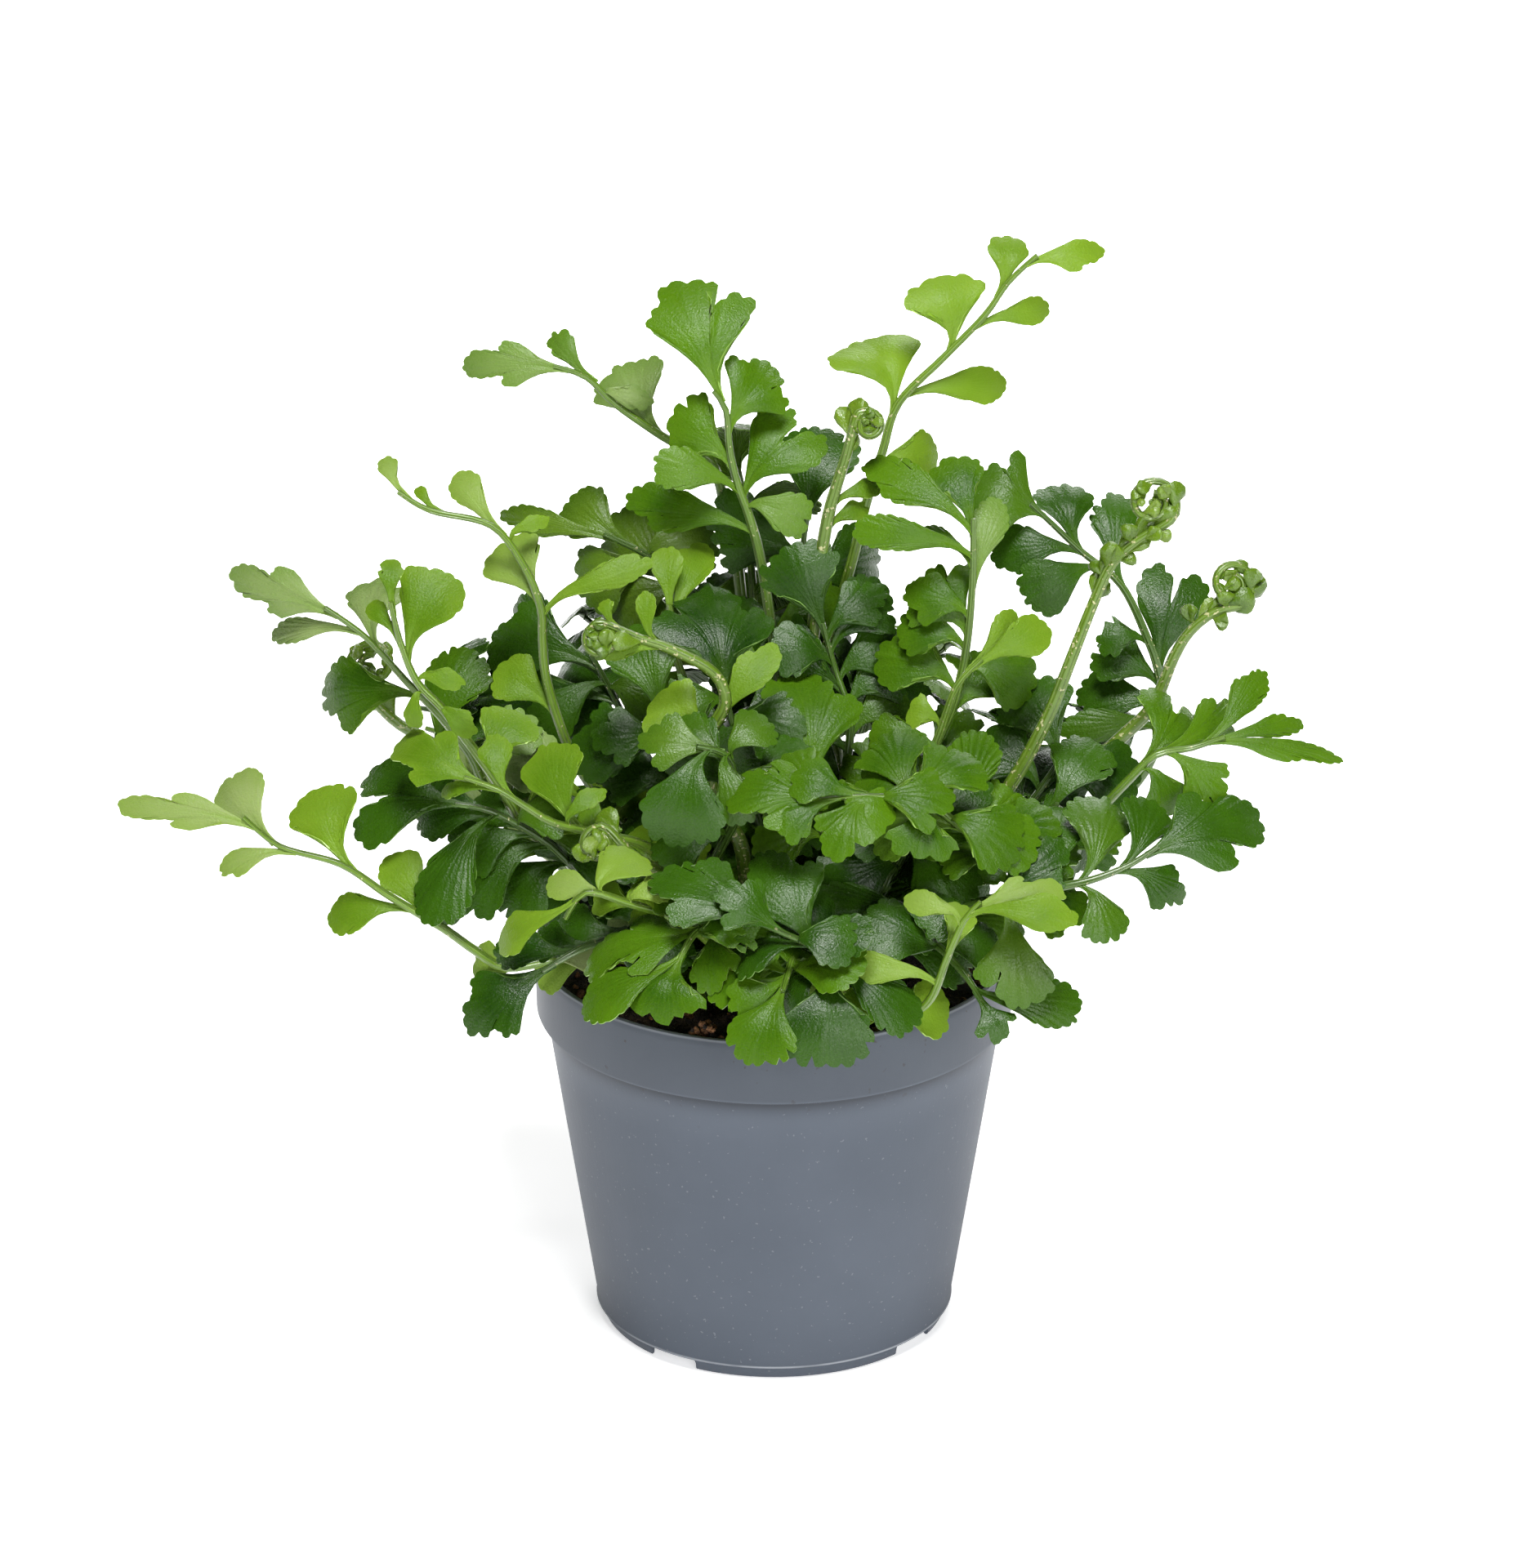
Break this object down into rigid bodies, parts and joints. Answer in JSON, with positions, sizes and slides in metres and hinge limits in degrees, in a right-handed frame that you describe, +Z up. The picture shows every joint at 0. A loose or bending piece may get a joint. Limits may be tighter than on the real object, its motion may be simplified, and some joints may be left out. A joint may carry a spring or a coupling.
{
  "type": "potted asplenium",
  "caption": "A fern with fan-shaped, scalloped leaflets and coiled young fronds, rising from the soil of a round, tapered nursery pot.",
  "frame": {"origin": "middle of the flat pad under the pot's base, on the surface that the pot stands on", "axes": "+Z up along the pot's axis, -Y towards the side that the picture shows, +X to its right"},
  "size_m": [0.314, 0.1754, 0.2794],
  "materials": {
    "pot_plastic": "satin blue-grey plastic",
    "soil": "dark crumbly peat",
    "leaf_young": "bright yellow-green leaf",
    "leaf_fresh": "mid-green leaf with a soft sheen",
    "leaf_mature": "dark glossy leaf"
  },
  "bodies": {
    "root": {"pot": "pot_plastic", "soil": "soil", "frond_far_left": "leaf_young", "frond_left_middle": "leaf_fresh", "frond_bright_left": "leaf_young", "frond_left_low": "leaf_young", "frond_upper_left": "leaf_young", "frond_top_left": "leaf_fresh", "frond_top_middle": "leaf_fresh", "frond_top_right": "leaf_young", "frond_right_light": "leaf_fresh", "frond_right_arch": "leaf_mature", "frond_big_crosier": "leaf_young", "frond_right_crosier": "leaf_young", "frond_right_low": "leaf_mature", "frond_right_edge": "leaf_fresh", "frond_middle_crosier": "leaf_young", "frond_middle_gloss": "leaf_mature", "frond_middle_pair": "leaf_mature", "frond_middle_fan": "leaf_fresh", "frond_middle_low": "leaf_fresh", "frond_ridged": "leaf_fresh", "frond_light_fan": "leaf_young", "frond_right_fan": "leaf_mature", "frond_low_left_twist": "leaf_young", "frond_front_right": "leaf_young", "frond_front_gloss": "leaf_mature", "frond_front_fork": "leaf_mature", "frond_front_left": "leaf_fresh", "frond_front_middle": "leaf_fresh", "frond_front_light": "leaf_mature", "frond_front_low_left": "leaf_mature", "frond_left_dark": "leaf_mature", "frond_left_back": "leaf_mature", "frond_left_crosier": "leaf_fresh", "frond_back_left": "leaf_mature", "frond_young_pair": "leaf_young", "frond_middle_down": "leaf_mature", "frond_low_gloss": "leaf_mature", "frond_low_crosier": "leaf_young", "frond_tiny_crosier": "leaf_young", "frond_centre_left": "leaf_mature", "frond_centre_right": "leaf_mature", "frond_centre_back": "leaf_mature", "frond_left_fill": "leaf_mature", "frond_right_fill": "leaf_mature", "frond_rear_1": "leaf_mature", "frond_rear_2": "leaf_fresh", "frond_rear_3": "leaf_mature", "frond_rear_4": "leaf_mature", "frond_rear_5": "leaf_fresh", "frond_rear_6": "leaf_fresh", "frond_rear_7": "leaf_mature", "frond_rear_8": "leaf_mature"}
  },
  "joints": []
}
